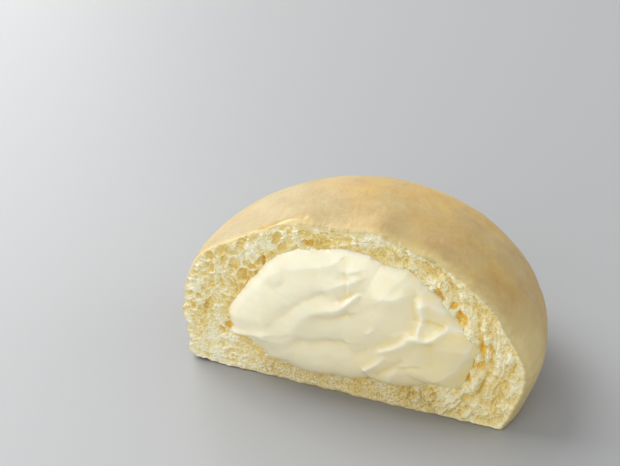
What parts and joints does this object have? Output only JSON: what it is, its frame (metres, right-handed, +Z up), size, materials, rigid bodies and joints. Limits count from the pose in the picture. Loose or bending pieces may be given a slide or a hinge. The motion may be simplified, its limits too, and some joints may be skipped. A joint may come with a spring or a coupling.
{
  "type": "cut cream bun",
  "caption": "Half of a soft pale domed bun, cut straight down, with torn crumb and a folded cream filling standing out of the cut.",
  "frame": {"origin": "middle of the bottom of the whole part's box, on the surface that the bun stands on", "axes": "+X along the cut, to the right when facing it; +Y away from the cut, into the bun; +Z up"},
  "size_m": [0.1038, 0.0708, 0.0546],
  "materials": {
    "bread": null,
    "cream": null
  },
  "bodies": {
    "root": {"bun_bread": "bread", "cream_filling": "cream"}
  },
  "joints": []
}
